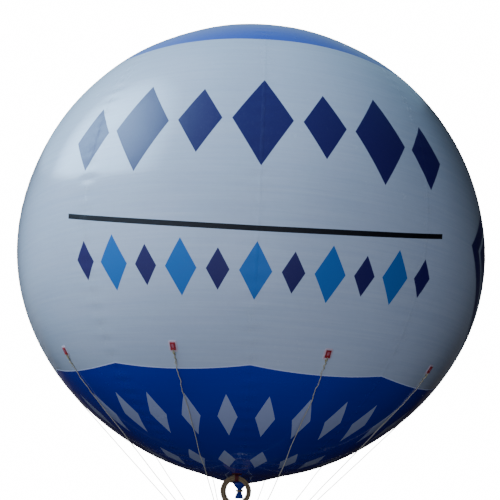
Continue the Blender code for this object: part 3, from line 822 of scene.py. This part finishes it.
def roundedLoop(halfX, halfY, exponent, count):
    # a superellipse: |x/a|^n + |y/b|^n = 1
    turn = 2.0 * math.pi * (np.arange(count) + 0.5) / count
    c, s = np.cos(turn), np.sin(turn)
    x = halfX * np.sign(c) * np.abs(c) ** (2.0 / exponent)
    y = halfY * np.sign(s) * np.abs(s) ** (2.0 / exponent)
    return np.stack([x, y], -1)


def onSkin(latitude, azimuth, x, y, height):
    # metres along the ring and up the meridian from a place on the skin, and metres off it
    reach = float(ballReach(latitude))
    ring = reach * math.cos(latitude * degree)
    return skinPoint(latitude + y / reach / degree, azimuth + x / ring / degree, height)


def plateRings(latitude, azimuth, size, base, corner, count, middle=(0.0, 0.0)):
    # a pillow-edged plate: rounded loops shrunk towards the middle, up over the rim and back
    share = np.array([0.04, 0.5, 0.84, 0.93, 0.98, 1.0, 0.99, 0.94, 0.5, 0.04])
    lift = np.array([1.0, 1.0, 0.99, 0.93, 0.72, 0.42, 0.10, 0.0, 0.0, 0.0]) * size[2] + base
    loop = roundedLoop(size[0] / 2.0, size[1] / 2.0, corner, count)
    flat = share[:, None, None] * loop[None]
    return onSkin(latitude, azimuth, flat[..., 0] + middle[0], flat[..., 1] + middle[1], lift[:, None])


def strapRings(latitude, azimuth):
    # the strap's middle line in (up, off) metres: down the pad, round the eye, back up
    base = ball["clear"] + patch["pad"][2] + patch["strapThick"] / 2.0 + 0.0002
    high = base + 2.0 * patch["eyeRadius"]
    near = base + patch["strapThick"] + 0.0003
    bend = np.linspace(-90.0, 90.0, 9) * degree
    down = np.stack([np.linspace(patch["strapTop"], patch["strapFoot"], 16), np.full(16, base)], -1)
    eye = np.stack([patch["strapFoot"] - patch["eyeRadius"] * np.cos(bend),
                    base + patch["eyeRadius"] + patch["eyeRadius"] * np.sin(bend)], -1)
    rise = np.linspace(0.0, 1.0, 16)
    back = np.stack([patch["strapFoot"] + rise * (patch["strapTop"] - 0.003 - patch["strapFoot"]),
                     high - (high - near) * easeStep(rise / 0.35)], -1)
    line = np.concatenate([down, eye[1:-1], back])
    along = unit(np.gradient(line, axis=0))
    normal = np.stack([-along[:, 1], along[:, 0]], -1)
    section = roundedLoop(patch["strapWidth"] / 2.0, patch["strapThick"] / 2.0, 6.0, 20)
    up = line[:, None, 0] + section[None, :, 1] * normal[:, None, 0]
    off = line[:, None, 1] + section[None, :, 1] * normal[:, None, 1]
    aside = np.broadcast_to(section[None, :, 0], up.shape)
    return onSkin(latitude, azimuth, aside, up, off)


def buildPatches():
    latitude = ball["patchLatitude"]
    panelLift = ball["clear"] + patch["pad"][2] + 2.0 * patch["strapThick"] + 0.0004
    for index in range(ball["gores"]):
        number = f"{index + 1:02d}"
        azimuth = goreAzimuth(index)
        pad = loft(f"pad_{number}", plateRings(latitude, azimuth, patch["pad"], ball["clear"], patch["corner"],
                                               patch["padAround"]), filmPad)
        place(pad, "balloon", "red_webbing")
        strap = loft(f"strap_{number}", strapRings(latitude, azimuth), webRed)
        place(strap, "balloon", "red_webbing", f"load_patch_{number}")
        panel = loft(f"strap_panel_{number}", plateRings(latitude, azimuth, patch["panel"], panelLift, 4.0, 32,
                                                         (0.0, 0.004)), webPink)
        place(panel, "balloon", "red_webbing")


buildPatches()
print("load patches made")

# Load lines: over the skin, then straight to the knot; doubled with a loose tail at the top.
line = {"radius": 0.003, "offset": 0.0062, "meet": -2.42, "endRadius": 0.022, "tabLength": 0.050,
        "sides": 10, "pointsOnSkin": 90, "pointsStraight": 110, "wander": 0.0035, "wanderWaves": 5.0,
        "tail": 0.088, "tailRadius": 0.0024, "tailTurn": 0.034, "tailPoints": 90, "hitchRadius": 0.0046,
        "knotSize": 0.0050, "knotCord": 0.0021, "knotDown": 0.015}


def lineRoute():
    # (radius, height) in the line's upright plane: on the skin down to where a straight line
    # to the meeting point just leaves it, then along that straight line
    tabFoot = (line["tabLength"] / 2.0 + 3.0 * ball["clear"]) / float(ballReach(ball["patchLatitude"])) / degree
    fine = np.arange(ball["patchLatitude"] - tabFoot, -80.0, -0.05)
    skin = skinProfile(fine, line["offset"])
    leave = int(np.argmax(np.arctan2(skin[:, 0], skin[:, 1] - line["meet"])))
    arc = np.linspace(fine[0], fine[leave], line["pointsOnSkin"])
    skin = skinProfile(arc, line["offset"])
    slope = skin[-1] - np.array([0.0, line["meet"]])
    end = np.array([0.0, line["meet"]]) + slope * (line["endRadius"] / slope[0])
    straight = skin[-1] + (end - skin[-1]) * np.linspace(0.0, 1.0, line["pointsStraight"])[1:, None]
    return np.concatenate([skin, straight])


def linePath(index, route):
    # the route turned to its gore, wandering sideways by a few waves that die out at both ends
    turn = goreAzimuth(index) * degree
    share = np.linspace(0.0, 1.0, len(route))
    quiet = easeStep(share / 0.08) * easeStep((1.0 - share) / 0.25)
    phase = 2.0 * math.pi * line["wanderWaves"] * share + 1.9 * index
    sway = line["wander"] * quiet * (np.sin(phase) + 0.5 * np.sin(2.3 * phase + index))
    aside = np.array([-math.sin(turn), math.cos(turn), 0.0])
    flat = np.stack([route[:, 0] * math.cos(turn), route[:, 0] * math.sin(turn), route[:, 1]], -1)
    settle = skinRelief(np.arctan2(route[:, 1], route[:, 0]) / degree, np.full(len(route), goreAzimuth(index)))
    lie = unit(flat) * (settle * (np.arange(len(route)) < line["pointsOnSkin"]) * (1.0 - easeStep(share / 0.45)))[:, None]
    return flat + sway[:, None] * aside + lie, aside


def helixAround(path, guide, reach, turnLength, start, end, count, startAngle=0.0):
    # points that turn round a stretch of the path, at a distance of reach(share) from it
    run = np.concatenate([[0.0], np.cumsum(np.linalg.norm(np.diff(path, axis=0), axis=1))])
    at = np.linspace(start, end, count)
    middle = np.stack([np.interp(at, run, path[:, k]) for k in range(3)], -1)
    along = unit(np.gradient(middle, axis=0))
    side = unit(np.cross(along, np.broadcast_to(guide, middle.shape)))
    up = np.cross(side, along)
    turn = startAngle + 2.0 * math.pi * (at - start) / turnLength
    away = reach(np.linspace(0.0, 1.0, count))[:, None]
    return middle + away * (np.cos(turn)[:, None] * side + np.sin(turn)[:, None] * up)


def trefoil(middle, side, up, out, size, count):
    # the usual trefoil: (sin t + 2 sin 2t, cos t - 2 cos 2t, -sin 3t), in these axes
    t = 2.0 * math.pi * np.arange(count) / count
    x, y, z = np.sin(t) + 2.0 * np.sin(2.0 * t), np.cos(t) - 2.0 * np.cos(2.0 * t), -np.sin(3.0 * t)
    return middle + size / 3.0 * (x[:, None] * side + y[:, None] * up + 1.2 * z[:, None] * out)


def closedTube(name, path, radius, sides, guide, material):
    # a ring of cord: circles round a closed path
    along = unit(np.roll(path, -1, axis=0) - np.roll(path, 1, axis=0))
    side = unit(np.cross(along, np.broadcast_to(guide, path.shape)))[:, None, :]
    up = np.cross(side, along[:, None, :])
    turn = 2.0 * math.pi * np.arange(sides)[None, :, None] / sides
    return ringLoft(name, path[:, None, :] + radius * (np.cos(turn) * side + np.sin(turn) * up), material)


def buildLines():
    route = lineRoute()
    for index in range(ball["gores"]):
        number = f"{index + 1:02d}"
        path, aside = linePath(index, route)
        main = loft(f"line_{number}", tubeRings(path, line["radius"], line["sides"], aside), lineCream)
        place(main, "balloon", "cream_line", f"load_line_{number}")
        reach = line["radius"] + line["tailRadius"] * 0.9
        tailPath = helixAround(path, aside, lambda share: reach + 0.009 * easeStep((share - 0.86) / 0.14),
                               line["tailTurn"], 0.004, line["tail"], line["tailPoints"], 0.8 + index)
        thin = line["tailRadius"] * (1.0 - 0.45 * easeStep((np.linspace(0.0, 1.0, line["tailPoints"]) - 0.93) / 0.07))
        tail = loft(f"line_tail_{number}", tubeRings(tailPath, thin, 8, aside), lineStraw)
        place(tail, "balloon", "cream_line")
        along = unit(path[4] - path[0])
        out = unit(np.cross(aside, along))
        run = np.concatenate([[0.0], np.cumsum(np.linalg.norm(np.diff(path, axis=0), axis=1))])
        knotAt = np.array([np.interp(line["knotDown"], run, path[:, k]) for k in range(3)])
        knot = closedTube(f"line_knot_{number}", trefoil(knotAt, aside, along, out, line["knotSize"] * 1.5, 72),
                          line["knotCord"], 8, out, lineStraw)
        place(knot, "balloon", "cream_line")
        turn = 2.0 * math.pi * np.arange(28) / 28
        ringPath = path[0] - 0.0012 * along + line["hitchRadius"] * (np.cos(turn)[:, None] * along + np.sin(turn)[:, None] * out)
        hitch = closedTube(f"line_hitch_{number}", ringPath, line["knotCord"], 8, aside, lineStraw)
        place(hitch, "balloon", "cream_line")
    return route


lineShape = buildLines()
print("load lines made")

# Filling neck, tied off with rope under the base disc.
neck = {"radius": 0.050, "waist": 0.017, "tail": 0.034, "length": 0.120, "waistDepth": 0.052, "rope": 0.010,
        "pleats": 13, "pleatDepth": 0.16, "sides": 130}


def buildNeck():
    # a gathered tube: full at the disc, pulled in at the tie, its open tail turned in below
    top = -float(ballReach(-90.0)) + ball["wall"]
    waistTop = top - neck["waistDepth"]
    outline = [
        (0.002, top), (neck["radius"] - ball["clear"], top), (neck["radius"] - ball["clear"], top - 0.014),
        (neck["radius"] * 0.74, top - neck["waistDepth"] * 0.60), (neck["waist"], waistTop),
        (neck["waist"], waistTop - 2.0 * neck["rope"]), (neck["tail"] * 0.84, top - neck["length"] * 0.80),
        (neck["tail"], top - neck["length"] + 0.001), (neck["tail"] * 0.90, top - neck["length"] + 0.002),
        (neck["tail"] * 0.66, top - neck["length"] * 0.82), (0.004, top - neck["length"] * 0.78),
    ]

    def pleat(angle, share):
        # folds deepest in the tail, none where the neck meets the disc
        deep = neck["pleatDepth"] * easeStep((share - 0.30) / 0.45)
        return 1.0 - deep * 0.5 * (1.0 - np.cos(neck["pleats"] * angle + 3.0 * share)) * (1.0 + 0.3 * np.sin(4.0 * angle))

    rings = turnedRings(finerOutline(outline, 110), neck["sides"], pleat)
    place(loft("neck_sleeve", rings, filmBlue), "balloon", "blue_film", "filling_neck")
    middle = waistTop - neck["rope"]
    turns = np.linspace(0.0, 2.15, 130)
    angle = 2.0 * math.pi * turns
    reach = neck["waist"] + ball["clear"] + neck["rope"] / 2.0
    path = np.stack([reach * np.cos(angle), reach * np.sin(angle), middle + (0.5 - turns / 2.15) * neck["rope"]], -1)
    rings = tubeRings(path, neck["rope"] / 2.0, 14, (0.0, 0.0, 1.0), 3, 0.12, 0.030)
    place(loft("neck_lashing", rings, ropeHempPaintedShade), "balloon", "hemp_rope", "neck_binding")


buildNeck()

# Knot of the lines, and the swivel under it.
knot = {"sides": 168, "strands": 14.0, "depth": 0.15, "pitch": 0.16}
swivel = {"sides": 64, "groove": 0.0010, "ring": 0.0195, "section": (0.0065, 0.0060), "around": 96}


def buildKnot():
    # a wall knot of the ten lines: a turned form whose strands run round it on a slant
    low, high = (np.array(corner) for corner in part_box("gathering_knot"))
    top, foot, wide = high[2], low[2], high[0]
    outline = [(0.002, top), (0.010, top), (wide, top - 0.011), (wide, top - 0.020), (0.026, top - 0.034),
               (0.029, top - 0.046), (0.022, foot + 0.016), (0.021, foot + 0.004), (0.017, foot), (0.002, foot)]
    fine = finerOutline(outline, 90)
    drop = fine[0, 1] - fine[:, 1:]

    def strands(angle, share):
        slant = knot["strands"] * (angle / 2.0 - math.pi * drop / knot["pitch"])
        inside = easeStep(share / 0.1) * easeStep((1.0 - share) / 0.08)
        return 1.0 - knot["depth"] * (1.0 - np.abs(np.cos(slant))) * inside

    rings = turnedRings(fine, knot["sides"], strands)
    place(loft("line_gathering", rings, cordGathered), "balloon", "cream_line", "gathering_knot")


def buildSwivel():
    low, high = (np.array(corner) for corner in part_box("swivel_barrel"))
    wide, top, foot = high[0], high[2], low[2]
    outline = [(0.001, top), (wide - 0.003, top), (wide, top - 0.003), (wide, top - 0.010),
               (wide - swivel["groove"], top - 0.0115), (wide, top - 0.013), (wide, foot + 0.013),
               (wide - swivel["groove"], foot + 0.0115), (wide, foot + 0.010), (wide, foot + 0.003),
               (wide - 0.003, foot), (0.0066, foot), (0.0064, foot + 0.004), (0.001, foot + 0.004)]
    barrel = loft("swivel_body", turnedRings(finerOutline(outline, 120), swivel["sides"]), steelZinc)
    place(barrel, "balloon", "zinc_steel", "swivel_barrel")
    low, high = (np.array(corner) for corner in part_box("swivel_eye"))
    eyeMiddle = low[2] + 0.026
    turn = 2.0 * math.pi * np.arange(swivel["around"]) / swivel["around"]
    path = np.stack([swivel["ring"] * np.cos(turn), np.zeros(len(turn)), eyeMiddle + swivel["ring"] * np.sin(turn)], -1)
    ring = closedTube("swivel_ring", path, swivel["section"][1], 24, (0.0, 1.0, 0.0), steelZinc)
    place(ring, "mooring_swivel", "zinc_steel", "swivel_eye")
    pinTop = foot + 0.003
    outline = [(0.001, pinTop), (0.0058, pinTop), (0.0058, foot - 0.006), (0.0085, foot - 0.009),
               (0.0088, foot - 0.0125), (0.0070, eyeMiddle + 0.0235), (0.001, eyeMiddle + 0.0215)]
    place(loft("swivel_pin", turnedRings(finerOutline(outline, 60), 48), steelZinc), "mooring_swivel", "zinc_steel")


buildKnot()
buildSwivel()
print("neck, knot and swivel made")

# Spare rope: seven turns in a round bundle, upright, hung from a webbing band.
coil = {"turns": 7.0, "ring": 0.091, "rope": 0.0125, "spacing": 0.0145, "perTurn": 150, "sides": 18,
        "pitch": 0.042, "strandDepth": 0.20, "inFrom": 5.3, "inSpan": 0.9, "startTurn": 90.0}
hanger = {"band": 0.003, "width": 0.026, "bundle": 0.021, "play": 0.0022, "plate": (0.070, 0.050, 0.004),
          "latitude": -76.5, "azimuth": -94.3}


def coilPath():
    # six turns step round the bundle a sixth of a circle each, and the seventh runs inside
    low, high = (np.array(corner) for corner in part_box("rope_coil"))
    centre = (low + high) / 2.0
    made = np.linspace(0.0, coil["turns"], int(coil["turns"] * coil["perTurn"]) + 1)
    about = (coil["startTurn"] + 360.0 * made) * degree
    place_ = np.minimum(60.0 * made, 360.0) * degree
    away = coil["spacing"] * (1.0 - easeStep((made - coil["inFrom"]) / coil["inSpan"]))
    ease = 0.0007 * np.sin(2.3 * about + made) + 0.0005 * np.sin(5.1 * about)
    reach = coil["ring"] + away * np.cos(place_) + ease
    path = np.stack([reach * np.cos(about), away * np.sin(place_) + 0.4 * ease, reach * np.sin(about)], -1)
    outward = np.stack([np.cos(about), np.zeros(len(about)), np.sin(about)], -1)
    return centre + path, outward


def buildCoil():
    path, outward = coilPath()
    rings = tubeRings(path, coil["rope"] / 2.0, coil["sides"], outward, 3, coil["strandDepth"], coil["pitch"])
    rope = place(loft("spare_rope", rings, ropeHempPaintedShade), "balloon", "hemp_rope", "rope_coil")


def buildHanger():
    low, high = (np.array(corner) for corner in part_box("rope_coil"))
    centre = (low + high) / 2.0 + np.array([0.0, 0.0, coil["ring"]])
    inner = hanger["bundle"] + hanger["play"]
    section = roundedLoop(hanger["width"] / 2.0, hanger["band"] / 2.0, 5.0, 20)
    turn = 2.0 * math.pi * np.arange(72) / 72
    reach = inner + hanger["band"] / 2.0 + section[None, :, 1]
    rings = np.stack([np.broadcast_to(section[None, :, 0], (72, 20)), reach * np.cos(turn)[:, None],
                      reach * np.sin(turn)[:, None]], -1) + centre
    band = ringLoft("hanger_band", rings, webRedPaintedShade)
    place(band, "balloon", "red_webbing", "coil_hanger")
    plate = loft("hanger_plate", plateRings(hanger["latitude"], hanger["azimuth"], hanger["plate"], ball["clear"],
                                            5.0, 56), webRedPaintedShade)
    place(plate, "balloon", "red_webbing")


buildCoil()
buildHanger()
print("coil and hanger made")

# Stage, light and camera.
stage = {"floor": -2.60, "radius": 10.0, "fadeFrom": 1.0, "fadeTo": 8.5, "glow": 0.45}


def buildFloor():
    # a round floor that thins out to nothing, and that isn't there from below
    turn = 2.0 * math.pi * np.arange(96) / 96
    points = np.concatenate([[[0.0, 0.0, stage["floor"]]],
                             np.stack([stage["radius"] * np.cos(turn), stage["radius"] * np.sin(turn),
                                       np.full(96, stage["floor"])], -1)])
    index = np.arange(96) + 1
    material, tree, shader, where = newMaterial("floor_pale")
    grain = noise(tree, where["Object"], 3.0, 3.0)
    feed(tree, shader.inputs["Base Color"], mixColour(tree, grain, colour(0.90, 0.88, 0.86), colour(0.94, 0.92, 0.90)))
    shader.inputs["Roughness"].default_value = 0.9
    shader.inputs["Emission Color"].default_value = colour(1.0, 0.97, 0.93)
    shader.inputs["Emission Strength"].default_value = stage["glow"]
    split = addNode(tree, "ShaderNodeSeparateXYZ", Vector=where["Object"]).outputs
    reach = calc(tree, "SQRT", calc(tree, "ADD", calc(tree, "MULTIPLY", split[0], split[0]), calc(tree, "MULTIPLY", split[1], split[1])))
    fade = ramp(tree, reach, stage["fadeTo"], stage["fadeFrom"])
    back = tree.nodes.new("ShaderNodeNewGeometry").outputs["Backfacing"]
    feed(tree, shader.inputs["Alpha"], calc(tree, "MULTIPLY", fade, calc(tree, "SUBTRACT", 1.0, back)))
    floor = putMesh("floor", points, [np.stack([np.zeros(96, int), index, np.roll(index, -1)], -1)], material)
    floor.visible_glossy = False
    floor.visible_diffuse = False


dome = {"foot": 0.10, "ground": 0.78, "haze": 0.34, "sky": 0.88, "skyFront": 0.20, "left": 1.05, "right": 0.02,
        "back": 0.40, "glow": 9.0, "shine": 8.5, "glowAim": (-0.85, -0.10, 0.52), "skyline": 0.30, "seen": 16.0,
        "earth": 0.92, "hazeTint": colour(0.69, 0.80, 1.0), "skyTint": colour(0.44, 0.71, 1.0),
        "earthTint": colour(1.0, 0.78, 0.62)}


def buildLight():
    # a soft pale dome, brighter high up and to the left, dim below; white where it is seen
    world = bpy.data.worlds.new("studio_dome")
    bpy.context.scene.world = world
    world.use_nodes = True
    tree = world.node_tree
    tree.nodes.clear()
    aim = tree.nodes.new("ShaderNodeTexCoord").outputs["Generated"]
    split = addNode(tree, "ShaderNodeSeparateXYZ", Vector=aim).outputs
    ground = ramp(tree, split[2], -0.85, -0.25, dome["foot"], dome["ground"])
    low = calc(tree, "SUBTRACT", ground, ramp(tree, split[2], -0.10, 0.25, 0.0, dome["ground"] - dome["haze"]))
    trees = ramp(tree, split[0], 0.15, 0.60, 0.0, dome["skyline"])
    isSky = ramp(tree, calc(tree, "SUBTRACT", split[2], trees), 0.39, 0.43)
    left = ramp(tree, split[0], 0.9, -0.9, dome["right"], dome["left"])
    front = ramp(tree, split[1], 0.3, -0.7, dome["back"], 1.0)
    behind = ramp(tree, split[1], -0.1, 0.6, dome["skyFront"], dome["sky"])
    even = calc(tree, "ADD", calc(tree, "MULTIPLY", low, front), calc(tree, "MULTIPLY", isSky, behind))
    farLow = calc(tree, "MULTIPLY", ramp(tree, split[1], -0.1, 0.5), ramp(tree, split[2], 0.04, -0.16))
    even = calc(tree, "MULTIPLY", even, calc(tree, "SUBTRACT", left, calc(tree, "MULTIPLY", calc(tree, "MULTIPLY", left, farLow), dome["earth"])))
    glow = addNode(tree, "ShaderNodeVectorMath", {"operation": "DOT_PRODUCT"}).outputs["Value"]
    feed(tree, glow.node.inputs[0], aim)
    glow.node.inputs[1].default_value = dome["glowAim"]
    rays = tree.nodes.new("ShaderNodeLightPath").outputs
    broad = calc(tree, "MULTIPLY", ramp(tree, glow, 0.70, 0.97), dome["glow"])
    narrow = calc(tree, "MULTIPLY", ramp(tree, glow, 0.84, 0.97), dome["shine"])
    glow = addNode(tree, "ShaderNodeMix", Factor=rays["Is Glossy Ray"], A=broad, B=narrow).outputs[0]
    glow = calc(tree, "MULTIPLY", glow, isSky)
    lowTint = mixColour(tree, farLow, dome["hazeTint"], dome["earthTint"])
    tint = mixColour(tree, isSky, lowTint, dome["skyTint"])
    lit = addNode(tree, "ShaderNodeBackground", Color=tint, Strength=calc(tree, "ADD", even, glow)).outputs[0]
    seen = addNode(tree, "ShaderNodeBackground", Color=colour(1.0, 1.0, 1.0), Strength=dome["seen"]).outputs[0]
    mix = tree.nodes.new("ShaderNodeMixShader")
    feed(tree, mix.inputs[0], rays["Is Camera Ray"])
    feed(tree, mix.inputs[1], lit)
    feed(tree, mix.inputs[2], seen)
    out = tree.nodes.new("ShaderNodeOutputWorld")
    tree.links.new(mix.outputs[0], out.inputs["Surface"])


def addSoftbox(name, where, size, watts, tint):
    lamp = bpy.data.lights.new(name, "AREA")
    lamp.shape = "DISK"
    lamp.size = size
    lamp.energy = watts
    lamp.color = tint
    thing = bpy.data.objects.new(name, lamp)
    bpy.context.scene.collection.objects.link(thing)
    aim = unit(-np.array(where))
    yaw = math.atan2(aim[1], aim[0]) - math.pi / 2.0
    pitch = math.atan2(aim[2], math.hypot(aim[0], aim[1])) + math.pi / 2.0
    thing.location = where
    thing.rotation_euler = (pitch, 0.0, yaw)
    thing.visible_glossy = False
    return thing


camera = {"distance": 3.4, "rise": -14.03, "swing": 1.03, "roll": 2.84, "focal": 764.2, "frame": 500.0,
          "middle": (250.9, 258.7), "sensor": 36.0}


def buildCamera():
    # low in front, looking up at the ball's middle; rise and swing in degrees, distance in
    # ball radii, focal length and middle in pixels of the square frame
    data = bpy.data.cameras.new("viewer")
    data.sensor_width = camera["sensor"]
    data.lens = camera["focal"] / camera["frame"] * camera["sensor"]
    data.shift_x = 0.5 - camera["middle"][0] / camera["frame"]
    data.shift_y = camera["middle"][1] / camera["frame"] - 0.5
    data.clip_end = 200.0
    viewer = bpy.data.objects.new("viewer", data)
    bpy.context.scene.collection.objects.link(viewer)
    reach = camera["distance"] * ball["radius"]
    flat = reach * math.cos(camera["rise"] * degree)
    swing = camera["swing"] * degree
    viewer.location = (-flat * math.sin(swing), -flat * math.cos(swing), reach * math.sin(camera["rise"] * degree))
    turn = (-viewer.location).to_track_quat("-Z", "Y").to_matrix()
    viewer.rotation_euler = (turn @ Matrix.Rotation(camera["roll"] * degree, 3, "Z")).to_euler()
    bpy.context.scene.camera = viewer


buildFloor()
buildLight()
addSoftbox("key", (-8.4, -4.6, 6.6), 4.0, 640.0, (0.90, 0.95, 1.0))
addSoftbox("fill", (-0.3, -8.6, -3.4), 5.0, 265.0, (0.74, 0.81, 1.0))
addSoftbox("side", (4.2, 8.6, 0.6), 5.0, 620.0, (0.86, 0.93, 1.0))
buildCamera()
print("stage, light and camera made")
